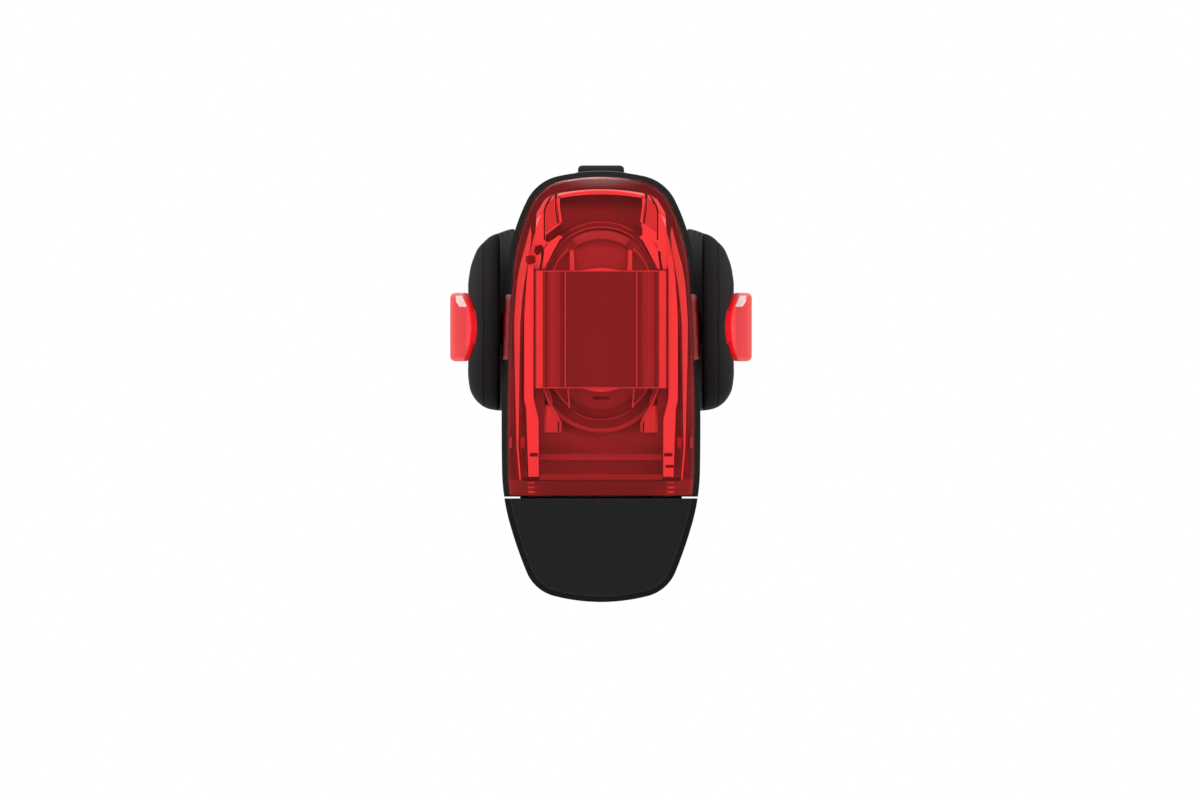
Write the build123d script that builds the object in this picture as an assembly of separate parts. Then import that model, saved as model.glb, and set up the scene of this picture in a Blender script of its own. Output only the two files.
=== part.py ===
from build123d import *
import math
import os

# Bicycle tail light that straps to a seat post, in millimetres.
# The origin is on the seat post's axis, level with the side hooks. The post stands along Z.
# The light hangs in front of the post, towards -Y, and "depth" counts that way from the axis.

# Seat post and the rubber that grips it
post_radius = 13.6
pad_thickness = 3.6
pad_width = 17.0
pad_height = 34.0
pad_corner_radius = 4.0
pad_rib_count = 2
pad_rib_depth = 0.5
pad_rib_width = 1.2

# Body seen from the front
body_width = 31.7
body_above_hooks = 24.9
body_below_hooks = 44.0
back_edge_bevel = 2.4

# Ends of the arcs of the right half of the outline, from the top middle to the foot:
# shares of the half width, and of the height counted down from the top
outline_shares = [
    (0.435, 0.011),
    (0.747, 0.067),
    (0.949, 0.234),
    (1.000, 0.478),
    (1.000, 0.694),
    (0.919, 0.819),
    (0.752, 0.930),
    (0.473, 0.986),
    (0.000, 1.000),
]

# Housing shell
shell_wall = 1.6
rim_above_carrier = 0.8
shell_below_hooks = 27.15
ledge_thickness = 1.0
ledge_width = 2.8
ledge_below_rim = 2.3

# Lens
rim_width = 0.9
lens_wall = 1.1
lens_band = 2.2
lens_front_wall = 1.5
lens_air = 0.7
lens_foot_wall = 2.5
lens_edge_bevel = 0.4
tongue_length = 1.5
slip_gap = 0.1
part_gap = 0.3

# Light guides in the side walls of the lens
guide_depth = 6.0

# Side hooks
hook_height = 10.7
hook_root_depth = 6.8
hook_flange_height = 14.0
hook_neck_radius = 2.7
head_height = 11.0
head_depth = 7.2
head_thickness = 4.15
head_dome_radius = 12.3
head_edge_radius = 0.8

# Strap
strap_thickness = 3.6
strap_ring_thickness = 5.15
strap_limb_width = 4.7
strap_dish = 1.3
strap_back_height = 18.0
strap_neck_gap = 0.3
strap_dome_gap = 0.15

# Lower neck, its seal and the end cap
neck_width = 25.9
neck_depth = 11.0
neck_length = 3.4
neck_corner_bevel = 1.8
neck_from_back = 2.3
seal_height = 1.0
seal_groove_depth = 0.6
seal_from_shell = 1.4
cap_slit = 0.3
cap_front_inset = 1.0
cap_side_depth = 7.0

# Charging plug, the size of a standard type A plug
plug_width = 12.0
plug_thickness = 4.5
plug_wall = 0.3
plug_reach = 13.85
plug_inside = 5.8
plug_behind_neck_middle = 0.4
tongue_thickness = 1.9
contact_count = 4
contact_pitch = 2.2
contact_width = 1.1
contact_length = 8.0
contact_thickness = 0.15
latch_hole = 2.2
latch_spacing = 5.0
latch_from_tip = 5.2
cap_plug_gap = 0.5
cap_plug_depth = 0.6

# Power button and its switch
button_width = 7.4
button_depth = 6.4
button_corner_bevel = 1.0
button_above_body = 1.0
button_edge_bevel = 0.4
button_travel = 0.4
button_flange = 0.9
button_flange_thickness = 1.0
button_seat_drop = 0.36
plunger_size = 2.6
plunger_length = 3.0
switch_width = 6.0
switch_depth = 3.4
switch_height = 3.4
stem_size = 1.8
stem_length = 1.3

# Boards
board_thickness = 0.8
board_gap = 1.4
board_width = 21.6
board_plug_gap = 0.95
board_boss_radius = 1.5
board_boss_x = 9.6
boss_from_board_top = 3.2
boss_from_board_foot = 3.0
screw_radius = 0.6
screw_head_radius = 1.1
screw_head_height = 0.6
screw_length = 3.2

# Battery
battery_width = 15.6
battery_thickness = 4.6
battery_foam = 0.6
battery_switch_gap = 1.0
battery_edge_radius = 1.2
tab_width = 2.4
tab_thickness = 0.15
tab_length = 3.2
tab_plug_gap = 1.35
tab_spacing = 6.0

# Light engine
link_length = 1.1
link_width = 5.0
link_height = 2.0
led_board_thickness = 1.0
led_board_width = 16.0
led_board_margin = 1.9
led_board_corner = 4.0
led_size = 3.2
led_height = 0.9
led_pitch = 6.7
led_count = 3
post_from_barrel = 2.4
carrier_post_length = 1.9
carrier_thickness = 1.4
carrier_skirt = 1.0
carrier_gap = 0.1
carrier_post_size = 2.6
optic_top_gap = 1.0
optic_flange_radius = 10.2
optic_rim_width = 1.0
optic_barrel_radius = 8.5
optic_barrel_depth = 2.2
optic_flange_thickness = 1.0
optic_step_radii = (8.6, 4.4)
optic_step_heights = (0.6, 1.4)
optic_rim_height = 1.3
block_width = 21.2
block_height = 18.8
block_drop = 0.4
block_depth = 4.4
block_bevel_depth = 1.2
block_flat_width = 11.4

# Side reflectors
reflector_block_gap = 0.15
reflector_width = 1.55
reflector_jog_x = 0.8
reflector_jog_high = 11.7
reflector_jog_low = 14.9
reflector_depth = 5.4
reflector_step = 0.8
strip_foot_gap = 0.55

# Corner panel and lower wedge of a reflector: shares of the optic flange radius, counted
# sideways from the middle and up or down from the centre of the flange's half circle
panel_foot_share = 0.473
panel_shares = [
    (0.71, 1.58), (0.63, 0.92), (0.75, 0.75), (0.90, 0.53), (1.07, panel_foot_share),
    (1.40, panel_foot_share), (1.40, 1.58)
]
wedge_shares = [
    (0.65, 1.00), (0.65, 0.80), (0.76, 0.70), (0.92, 0.49), (1.12, 0.45), (1.12, 1.00)
]

# The shelf under the optics
shelf_height = 0.9
shelf_below_hooks = 20.3
shelf_depth = 3.0

# One length longer than any cut needs
overrun = 60.0

# Places worked out from the sizes above. The first ones count forward from the post's axis
body_back = post_radius + pad_thickness
shell_inner_back = body_back + shell_wall
battery_back = shell_inner_back + battery_foam
board_back = battery_back + battery_thickness + board_gap
board_front = board_back + board_thickness
led_board_back = board_front + link_length
led_board_front = led_board_back + led_board_thickness
carrier_back = led_board_front + carrier_post_length
carrier_front = carrier_back + carrier_thickness
shell_front = carrier_back + rim_above_carrier
ledge_front = shell_front - ledge_below_rim
ledge_back = ledge_front - ledge_thickness
tongue_back = shell_front - tongue_length
block_back = carrier_front + optic_flange_thickness + optic_rim_height
block_front = block_back + block_depth
lens_inner_front = block_front + lens_air
body_front = lens_inner_front + lens_front_wall
hook_axis_depth = shell_front - hook_root_depth / 2
neck_middle = body_back + neck_from_back + neck_depth / 2
plug_middle = neck_middle - plug_behind_neck_middle
button_middle = (shell_inner_back + ledge_back) / 2
switch_middle = board_back - switch_depth / 2

# These count sideways from the middle of the light
half_width = body_width / 2
cavity_inset = rim_width + lens_band
strap_reach = half_width + part_gap + strap_ring_thickness
head_face = strap_reach - strap_dish
strap_ring_radius = hook_neck_radius + strap_neck_gap + strap_limb_width
reflector_inner_x = block_width / 2 + reflector_block_gap

# These count up and down from the hooks
post_height = body_above_hooks - shell_wall - ledge_width - optic_top_gap - led_board_margin
optic_pitch = 2 * (post_height - post_from_barrel - optic_barrel_radius)
body_height = body_above_hooks + body_below_hooks
lens_foot = shell_below_hooks - slip_gap
cap_top = shell_below_hooks + cap_slit
plug_tip = shell_below_hooks + plug_reach
plug_top = plug_inside - shell_below_hooks
flange_top = body_above_hooks - shell_wall - button_seat_drop - slip_gap / 2
flange_bottom = flange_top - button_flange_thickness
stem_top = flange_bottom - plunger_length
switch_top = stem_top - stem_length
switch_foot = switch_top - switch_height
board_foot = plug_top + board_plug_gap
battery_foot = plug_top + tab_plug_gap + tab_length
battery_height = switch_foot - battery_switch_gap - battery_foot
board_height = switch_top - board_foot
boss_places = [
    (-board_boss_x, switch_top - boss_from_board_top), (board_boss_x, board_foot + boss_from_board_foot)
]
strip_foot = lens_foot - lens_foot_wall - strip_foot_gap
strip_top = optic_pitch / 2 + panel_foot_share * optic_flange_radius


def forward(depth):
    """Plane square to the light's axis, so many millimetres in front of the post's axis."""
    return Plane.XZ.offset(depth)


def slab(face, back, front):
    """Solid of a front-view face between two depths."""
    return extrude(forward(back) * face, amount=front - back)


def block(x_low, x_high, back, front, z_low, z_high):
    """Box between two sides, two depths and two heights."""
    width = x_high - x_low
    height = z_high - z_low
    face = Pos(x_low + width / 2, z_low + height / 2) * Rectangle(width, height)
    return slab(face, back, front)


def round_pin(x, z, radius, back, front):
    """Round pin that points forward."""
    return slab(Pos(x, z) * Circle(radius), back, front)


def upright_prism(face, middle, z_low, z_high):
    """Solid of a plan-view face, centred on a depth, between two heights."""
    return extrude(Plane.XY.offset(z_low) * Pos(0, -middle) * face, amount=z_high - z_low)


def half_outline():
    """Arcs of the body's right side, each one tangent to the arc before it."""
    start = (0, body_above_hooks)
    heading = Vector(1, 0)
    arcs = []
    for width_share, height_share in outline_shares:
        end = (width_share * half_width, body_above_hooks - height_share * body_height)
        arc = TangentArc(start, end, tangent=heading)
        heading = arc % 1
        start = end
        arcs.append(arc)
    return arcs


def outline(inset=0):
    """Face of the whole light from the front, drawn in by an inset."""
    right = half_outline()
    left = [mirror(arc, about=Plane.YZ) for arc in right]
    face = make_face(Curve() + right + left)
    if inset == 0:
        return face
    return offset(face, amount=-inset, kind=Kind.INTERSECTION)


def span(face, z_low, z_high):
    """Part of a face between two heights."""
    strip = Pos(0, (z_low + z_high) / 2) * Rectangle(overrun, z_high - z_low)
    return face & strip


def above(face, z_low):
    """Part of a face above a height."""
    return span(face, z_low, overrun)


def side_of(face, side):
    """Half of a face: side is 1 for the right and -1 for the left."""
    strip = Pos(side * overrun / 2, 0) * Rectangle(overrun, 2 * overrun)
    return face & strip


def ring_face(outer_inset, inner_inset):
    """Band of the outline between two insets."""
    return outline(outer_inset) - outline(inner_inset)


def obround(radius):
    """Upright face with two half circles one optic pitch apart."""
    ends = Pos(0, optic_pitch / 2) * Circle(radius) + Pos(0, -optic_pitch / 2) * Circle(radius)
    return ends + Rectangle(2 * radius, optic_pitch)


def neck_face(grow=0):
    """Plan of the lower neck, in the plane of the post's axis."""
    face = Rectangle(neck_width + 2 * grow, neck_depth + 2 * grow)
    return chamfer(face.vertices(), neck_corner_bevel)


def button_face(grow=0):
    """Plan of the power button."""
    face = Rectangle(button_width + 2 * grow, button_depth + 2 * grow)
    return chamfer(face.vertices(), button_corner_bevel)


def make_back_shell():
    """Moulded tub: back and side walls, ledge, board bosses, hook notches, button hole and neck."""
    tub = slab(above(outline(), -shell_below_hooks), body_back, shell_front)
    back_edges = tub.edges().group_by(Axis.Y)[-1]
    tub = chamfer(back_edges.filter_by(GeomType.CIRCLE), back_edge_bevel)
    floor_top = -shell_below_hooks + shell_wall
    tub -= slab(above(outline(shell_wall), floor_top), shell_inner_back, shell_front)
    ledge_hole = above(outline(shell_wall + ledge_width), floor_top + ledge_width)
    ledge = above(outline(shell_wall), floor_top) - ledge_hole
    tub += slab(ledge, ledge_back, ledge_front)
    for x, z in boss_places:
        tub += round_pin(x, z, board_boss_radius, shell_inner_back, board_back)
        tub -= round_pin(x, z, screw_radius, board_back - screw_length, board_back)
    notch_back = shell_front - hook_root_depth
    notch = span(outline(), -hook_height / 2, hook_height / 2) - outline(shell_wall)
    tub -= slab(notch, notch_back, shell_front)
    flange = ring_face(shell_wall, shell_wall + ledge_width)
    tub -= slab(span(flange, -hook_flange_height / 2, hook_flange_height / 2), notch_back, ledge_front)
    tub -= upright_prism(button_face(slip_gap), button_middle, flange_top, body_above_hooks)
    neck_low = -shell_below_hooks - neck_length
    neck = upright_prism(neck_face(), neck_middle, neck_low, -shell_below_hooks)
    groove_high = -shell_below_hooks - seal_from_shell
    groove_low = groove_high - seal_height
    groove = neck_face() - neck_face(-seal_groove_depth)
    neck -= upright_prism(groove, neck_middle, groove_low, groove_high)
    tub += neck
    plug_hole = Rectangle(plug_width, plug_thickness)
    tub -= upright_prism(plug_hole, plug_middle, neck_low, floor_top)
    return tub


def make_lens_shell():
    """Clear cover with a flat front, a straight foot and a tongue that enters the tub."""
    foot = -lens_foot
    outside = above(outline(rim_width), foot)
    lens = slab(outside, shell_front, body_front)
    front_edges = lens.edges().group_by(Axis.Y)[0]
    lens = chamfer(front_edges.filter_by(GeomType.CIRCLE), lens_edge_bevel)
    inside = above(outline(cavity_inset), foot + lens_foot_wall)
    lens -= slab(inside, shell_front, lens_inner_front)
    tongue_inset = shell_wall + slip_gap
    tongue_foot = -shell_below_hooks + shell_wall + slip_gap
    tongue = above(outline(tongue_inset), tongue_foot) - inside
    lens += slab(tongue, tongue_back, shell_front)
    for side in (-1, 1):
        lens -= make_light_guide(side)
    return lens


def make_light_guide(side):
    """Narrow strip let into a side wall of the lens, tapered at its lower end."""
    strip = side_of(ring_face(rim_width + lens_wall, cavity_inset), side)
    strip = span(strip, -strip_foot, strip_top)
    return slab(strip, shell_front, shell_front + guide_depth)


def make_lens_gasket():
    """Silicone ring squeezed between the lens tongue and the ledge."""
    tongue_foot = -shell_below_hooks + shell_wall + slip_gap
    outer = above(outline(shell_wall + slip_gap), tongue_foot)
    inner = above(outline(cavity_inset), -lens_foot + lens_foot_wall)
    return slab(outer - inner, ledge_front, tongue_back)


def make_hook(side):
    """Red hook: flange inside the wall, root in the notch, round neck and domed T head."""
    notch_back = shell_front - hook_root_depth
    root = side_of(span(outline() - outline(shell_wall), -hook_height / 2, hook_height / 2), 1)
    hook = slab(root, notch_back, shell_front)
    flange = side_of(ring_face(shell_wall, shell_wall + ledge_width), 1)
    flange = span(flange, -hook_flange_height / 2, hook_flange_height / 2)
    hook += slab(flange, notch_back, ledge_front)
    head_middle = head_face + head_thickness / 2
    head = Location((head_middle, -hook_axis_depth, 0)) * Box(head_thickness, head_depth, head_height)
    head = fillet(head.edges().group_by(Axis.X)[-1], head_edge_radius)
    head &= dome_ball(1)
    neck_start = half_width - shell_wall
    neck = Cylinder(hook_neck_radius, head_middle - neck_start, rotation=(0, 90, 0))
    hook += Location(((neck_start + head_middle) / 2, -hook_axis_depth, 0)) * neck
    hook += head
    if side > 0:
        return hook
    return mirror(hook, about=Plane.YZ)


def dome_ball(side, grow=0):
    """Ball whose near side is the dome under a hook head."""
    turn = Rotation(0, 0, 90 - side * 90)
    centre = Location((side * (head_face + head_dome_radius), -hook_axis_depth, 0))
    return centre * turn * Sphere(head_dome_radius + grow)


def dish_channel(side):
    """Round-bottomed channel that runs forward from a hook head, as wide as the ball's cut."""
    length = strap_ring_radius
    centre_x = side * (head_face + head_dome_radius)
    rod = Cylinder(head_dome_radius + strap_dome_gap, length, rotation=(90, 0, 0))
    return Location((centre_x, -hook_axis_depth - length / 2, 0)) * rod


def strap_plan():
    """Plan of the strap: a band round the back of the post that opens into two side plates."""
    inner_x = half_width + part_gap
    plate_front = hook_axis_depth + strap_ring_radius
    plate_back = body_back - pad_thickness / 2
    outer_r = post_radius + strap_thickness
    outer = Polyline((outer_r, 0), (strap_reach, -plate_back), (strap_reach, -plate_front))
    tip = Line((strap_reach, -plate_front), (inner_x, -plate_front))
    inner = Polyline((inner_x, -plate_front), (inner_x, -plate_back), (post_radius, 0))
    foot = Line((post_radius, 0), (outer_r, 0))
    right = make_face(Curve() + [outer, tip, inner, foot])
    back = Circle(outer_r) - Circle(post_radius)
    back &= Pos(0, overrun / 2) * Rectangle(overrun, overrun)
    return right + mirror(right, about=Plane.YZ) + back


# Right half of the strap from the front, from the top down: shares of its reach and of its ring height
wing_shares = [
    (0.60, 0.560), (0.73, 0.530), (0.84, 0.495), (0.93, 0.430), (0.98, 0.335), (1.00, 0.235)
]
wing_foot_shares = [
    (1.00, -0.270), (0.985, -0.350), (0.94, -0.405), (0.87, -0.445), (0.76, -0.460), (0.60, -0.440)
]
ring_height = 29.3


def strap_front():
    """Front view of the strap: rounded shoulders above and below."""
    right = [(x * strap_reach, z * ring_height) for x, z in wing_shares + wing_foot_shares]
    left = [(-x, z) for x, z in reversed(right)]
    return make_face(Polyline(*right, *left, close=True))


def strap_side():
    """Side view of the strap: tall rounded rings in front that taper to a band behind the post."""
    front = -(hook_axis_depth + strap_ring_radius)
    back = post_radius + strap_thickness
    top = wing_shares[0][1] * ring_height
    low = wing_foot_shares[-2][1] * ring_height
    crest = -body_back
    half_back = strap_back_height / 2
    middle = (top + low) / 2
    nose = ThreePointArc((crest, top), (front, middle), (crest, low))
    under = Polyline((crest, low), (0, low), (back, -half_back))
    tail = Line((back, -half_back), (back, half_back))
    over = Polyline((back, half_back), (0, top), (crest, top))
    return make_face(Curve() + [nose, under, tail, over])


def make_strap():
    """Rubber strap whose two ring ends sit round the hook necks, dished under the hook heads."""
    strap = extrude(Plane.XY.offset(-overrun / 2) * strap_plan(), amount=overrun)
    strap &= extrude(Plane.XZ.offset(-overrun / 2) * strap_front(), amount=overrun * 2)
    strap &= extrude(Plane.YZ.offset(-overrun / 2) * strap_side(), amount=overrun)
    bore = Cylinder(hook_neck_radius + strap_neck_gap, overrun, rotation=(0, 90, 0))
    strap -= Location((0, -hook_axis_depth, 0)) * bore
    for side in (-1, 1):
        strap -= dome_ball(side, strap_dome_gap) + dish_channel(side)
    return strap


def make_saddle_pad():
    """Rubber pad with a flat front on the housing and a hollow ribbed back round the post."""
    face = RectangleRounded(pad_width, pad_height, pad_corner_radius)
    pad = slab(face, 0, body_back)
    pad -= Cylinder(post_radius, overrun)
    pitch = pad_height / (pad_rib_count + 1)
    groove = Circle(post_radius + pad_rib_depth) - Circle(post_radius)
    for number in range(pad_rib_count):
        middle = (number + 1) * pitch - pad_height / 2
        pad -= extrude(Plane.XY.offset(middle - pad_rib_width / 2) * groove, amount=pad_rib_width)
    return pad


def make_power_button():
    """Rubber button with a flange under the wall and a plunger over the switch stem."""
    top = body_above_hooks + button_above_body
    cap = upright_prism(button_face(), button_middle, flange_bottom, top)
    cap = chamfer(cap.edges().group_by(Axis.Z)[-1], button_edge_bevel)
    cap += upright_prism(button_face(button_flange), button_middle, flange_bottom, flange_top)
    plunger = Pos(0, button_middle - switch_middle) * Rectangle(plunger_size, plunger_size)
    cap += upright_prism(plunger, button_middle, stem_top, flange_bottom)
    return cap


def make_switch_body():
    """Side-push switch on the upper edge of the main board."""
    half = switch_width / 2
    low = switch_top - switch_height
    body = block(-half, half, board_back - switch_depth, board_back, low, switch_top)
    stem_hole = Rectangle(stem_size + 2 * slip_gap, stem_size + 2 * slip_gap)
    return body - upright_prism(stem_hole, switch_middle, switch_top - button_travel * 2, switch_top)


def make_switch_stem():
    """Stem of the switch, which the button's plunger pushes down."""
    stem = Rectangle(stem_size, stem_size)
    return upright_prism(stem, switch_middle, switch_top - button_travel, stem_top)


def make_main_board():
    """Circuit board on two bosses, with clearance holes for its screws."""
    half = board_width / 2
    board = block(-half, half, board_back, board_front, board_foot, switch_top)
    for x, z in boss_places:
        board -= round_pin(x, z, screw_radius + slip_gap, board_back, board_front)
    return board


def make_board_screws():
    """Two small screws that hold the main board to the bosses."""
    screws = []
    tip = board_back - screw_length + slip_gap
    for x, z in boss_places:
        shank = round_pin(x, z, screw_radius, tip, board_front)
        head = round_pin(x, z, screw_head_radius, board_front, board_front + screw_head_height)
        screws.append(shank + head)
    return Compound(children=screws)


chip_sizes = [(4.0, 4.0), (3.0, 3.0), (2.0, 1.3), (2.0, 1.3), (1.6, 0.9)]
chip_places_shares = [(-0.25, 0.62), (0.25, 0.50), (-0.30, 0.28), (0.30, 0.75), (0.05, 0.30)]
chip_height = 0.9


def make_board_chips():
    """Charger chip, driver chip and small parts on the front of the main board."""
    chips = []
    for (width, height), (x_share, z_share) in zip(chip_sizes, chip_places_shares):
        left = x_share * board_width - width / 2
        low = board_foot + z_share * board_height - height / 2
        chips.append(block(left, left + width, board_front, board_front + chip_height, low, low + height))
    return Compound(children=chips)


def make_board_link():
    """Pin header that joins the main board to the light board."""
    low = -post_height + link_height
    return block(-link_width / 2, link_width / 2, board_front, led_board_back, low, low + link_height)


def make_battery_cell():
    """Flat rechargeable pouch cell."""
    half = battery_width / 2
    top = battery_foot + battery_height
    cell = block(-half, half, battery_back, battery_back + battery_thickness, battery_foot, top)
    return fillet(cell.edges().filter_by(Axis.Z), battery_edge_radius)


def make_battery_foam():
    """Foam pad that holds the cell off the back wall."""
    half = battery_width / 2 - battery_edge_radius
    return block(-half, half, shell_inner_back, battery_back, battery_foot, battery_foot + battery_height)


def make_battery_tabs():
    """Two nickel tabs bent from the foot of the cell to the main board."""
    tabs = []
    back = battery_back + battery_thickness / 2
    for side in (-1, 1):
        left = side * tab_spacing / 2 - tab_width / 2
        low = battery_foot - tab_length
        drop = block(left, left + tab_width, back, back + tab_thickness, low, battery_foot)
        run = block(left, left + tab_width, back, board_back, low, low + tab_thickness)
        tabs.append(drop + run)
    return Compound(children=tabs)


def make_led_board():
    """Metal-core board behind the optic, held by the square posts of the carrier."""
    height = 2 * (post_height + led_board_margin)
    face = chamfer(Rectangle(led_board_width, height).vertices(), led_board_corner)
    return slab(face, led_board_back, led_board_front)


def make_leds():
    """Row of surface-mounted light-emitting diodes, each with a smaller window on its base."""
    front = led_board_front
    leds = []
    for number in range(led_count):
        z = (number - (led_count - 1) / 2) * led_pitch
        half = led_size / 2
        base = block(-half, half, front, front + led_height / 2, z - half, z + half)
        half -= led_height / 2
        window = block(-half, half, front, front + led_height, z - half, z + half)
        leds.append(base + window)
    return Compound(children=leds)


def make_optic_carrier():
    """Plate behind the optics, with a skirt on the ledge, posts for the board and a shelf."""
    inset = cavity_inset + carrier_gap
    low = -lens_foot + lens_foot_wall + carrier_gap
    plate = above(outline(inset), low)
    carrier = slab(plate, carrier_back, carrier_front)
    skirt = plate - above(outline(inset + carrier_skirt), low + carrier_skirt)
    carrier += slab(skirt, ledge_front, carrier_back)
    carrier -= slab(obround(optic_barrel_radius + slip_gap), carrier_back, carrier_front)
    half = carrier_post_size / 2
    for z in (-post_height, post_height):
        carrier += block(-half, half, led_board_front, carrier_back, z - half, z + half)
    shelf_half = reflector_inner_x - reflector_jog_x - carrier_gap
    shelf_low = -shelf_below_hooks - shelf_height
    shelf_front = carrier_front + shelf_depth
    carrier += block(-shelf_half, shelf_half, carrier_front, shelf_front, shelf_low, -shelf_below_hooks)
    sill_low = -lens_foot + lens_foot_wall + carrier_gap
    sill_front = carrier_front + reflector_depth
    carrier += block(-shelf_half, shelf_half, carrier_front, sill_front, sill_low, sill_low + shelf_height)
    return carrier


def make_collimator():
    """Obround optic: barrel through the carrier, flange on it, stepped rings and a raised rim."""
    optic = slab(obround(optic_barrel_radius), carrier_front - optic_barrel_depth, carrier_front)
    flange_front = carrier_front + optic_flange_thickness
    optic += slab(obround(optic_flange_radius), carrier_front, flange_front)
    rim = obround(optic_flange_radius) - obround(optic_flange_radius - optic_rim_width)
    optic += slab(rim, flange_front, flange_front + optic_rim_height - part_gap)
    for radius, height in zip(optic_step_radii, optic_step_heights):
        optic += slab(obround(radius), flange_front, flange_front + height - part_gap)
    return optic


def make_prism_block():
    """Rectangular optic in the middle, flat in front with two bevelled sides."""
    half = block_width / 2
    flat = block_flat_width / 2
    back = -block_back
    front = -block_front
    shoulder = front + block_bevel_depth
    right = [(flat, front), (half, shoulder), (half, back)]
    left = [(-x, y) for x, y in reversed(right)]
    plan = Polyline(*left, *right, close=True)
    low = -block_height / 2 - block_drop
    return extrude(Plane.XY.offset(low) * make_face(plan), amount=block_height)


def panel_face(shares, side, end):
    """Polygon of a reflector panel on one side: end is 1 over the optic and -1 under it."""
    points = []
    for x, z in shares:
        height = optic_pitch / 2 + z * optic_flange_radius
        points.append((side * x * optic_flange_radius, end * height))
    return make_face(Polyline(*points, close=True))


def make_side_reflector(side):
    """Bright moulding: a tall strip, a sloped upper corner panel and a small lower wedge."""
    inset = cavity_inset + carrier_gap
    inner = side * reflector_inner_x
    outer = side * (reflector_inner_x + reflector_width)
    jog = side * reflector_jog_x
    strip = Polyline(
        (outer, strip_top), (inner, strip_top), (inner, -reflector_jog_high),
        (inner - jog, -reflector_jog_low), (inner - jog, -strip_foot),
        (outer - jog, -strip_foot), (outer - jog, -reflector_jog_low),
        (outer, -reflector_jog_high), close=True
    )
    strip = make_face(strip) & outline(inset)
    reflector = slab(strip, carrier_front, carrier_front + reflector_depth)
    panel = panel_face(panel_shares, side, 1) & outline(inset)
    reflector += slab(panel, carrier_front, carrier_front + reflector_depth - reflector_step)
    wedge = panel_face(wedge_shares, side, -1)
    reflector += slab(wedge, carrier_front, carrier_front + reflector_step)
    return reflector


def make_usb_shell():
    """Folded steel shell of the charging plug with its latch windows."""
    low = -plug_tip
    outer = Rectangle(plug_width, plug_thickness)
    inner = Rectangle(plug_width - 2 * plug_wall, plug_thickness - 2 * plug_wall)
    shell = upright_prism(outer - inner, plug_middle, low, plug_top)
    window_z = low + latch_from_tip
    for x in (-latch_spacing / 2, latch_spacing / 2):
        half = latch_hole / 2
        shell -= block(
            x - half, x + half, plug_middle - plug_thickness, plug_middle + plug_thickness,
            window_z, window_z + latch_hole
        )
    return shell


def make_usb_tongue():
    """Plastic tongue against one wall of the plug."""
    width = plug_width - 2 * plug_wall
    back = plug_middle - plug_thickness / 2 + plug_wall
    low = -plug_tip + plug_wall
    return block(-width / 2, width / 2, back, back + tongue_thickness, low, plug_top)


def make_usb_contacts():
    """Four gilt contacts on the tongue."""
    face = plug_middle - plug_thickness / 2 + plug_wall + tongue_thickness
    low = -plug_tip + 2 * contact_width
    contacts = []
    for number in range(contact_count):
        x = (number - (contact_count - 1) / 2) * contact_pitch
        half = contact_width / 2
        contacts.append(block(x - half, x + half, face, face + contact_thickness, low, low + contact_length))
    return Compound(children=contacts)


def make_neck_seal():
    """Rubber ring in the groove of the neck, which grips the end cap."""
    high = -shell_below_hooks - seal_from_shell
    ring = neck_face(slip_gap / 2) - neck_face(-seal_groove_depth)
    return upright_prism(ring, neck_middle, high - seal_height, high)


def make_end_cap():
    """Pull-off cap: flat front, bulging sides, socket for the neck and a pocket for the plug."""
    whole = outline()
    face = span(whole, -overrun, -cap_top)
    mid_front = body_front - cap_side_depth
    back_part = slab(face, body_back, mid_front)
    back_edges = back_part.edges().group_by(Axis.Y)[-1].filter_by(GeomType.CIRCLE)
    back_part = chamfer(back_edges, back_edge_bevel)
    taper = math.degrees(math.atan2(cap_front_inset, cap_side_depth))
    front_part = extrude(forward(mid_front) * whole, amount=cap_side_depth, taper=taper)
    front_part &= block(-overrun, overrun, body_back, body_front, -overrun, -cap_top)
    cap = back_part + front_part
    socket_low = -shell_below_hooks - neck_length - part_gap
    cap -= upright_prism(neck_face(slip_gap), neck_middle, socket_low, -cap_top)
    pocket = Rectangle(plug_width + 2 * cap_plug_gap, plug_thickness + 2 * cap_plug_gap)
    cap -= upright_prism(pocket, plug_middle, -plug_tip - cap_plug_depth, socket_low)
    return cap


def main():
    os.makedirs("parts", exist_ok=True)
    nodes = {
        "back_shell": make_back_shell(),
        "lens_shell": make_lens_shell(),
        "lens_gasket": make_lens_gasket(),
        "hook_left": make_hook(-1),
        "hook_right": make_hook(1),
        "saddle_pad": make_saddle_pad(),
        "strap": make_strap(),
        "power_button": make_power_button(),
        "switch_body": make_switch_body(),
        "switch_stem": make_switch_stem(),
        "main_board": make_main_board(),
        "board_screws": make_board_screws(),
        "board_chips": make_board_chips(),
        "board_link": make_board_link(),
        "battery_cell": make_battery_cell(),
        "battery_foam": make_battery_foam(),
        "battery_tabs": make_battery_tabs(),
        "led_board": make_led_board(),
        "leds": make_leds(),
        "optic_carrier": make_optic_carrier(),
        "collimator": make_collimator(),
        "prism_block": make_prism_block(),
        "side_reflector_left": make_side_reflector(-1),
        "side_reflector_right": make_side_reflector(1),
        "light_guide_left": make_light_guide(-1),
        "light_guide_right": make_light_guide(1),
        "usb_shell": make_usb_shell(),
        "usb_tongue": make_usb_tongue(),
        "usb_contacts": make_usb_contacts(),
        "neck_seal": make_neck_seal(),
        "end_cap": make_end_cap(),
    }
    for name, shape in nodes.items():
        export_step(shape, f"parts/{name}.step")


main()
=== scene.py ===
import math

import bmesh
import bpy
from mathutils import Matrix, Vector, geometry


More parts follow.
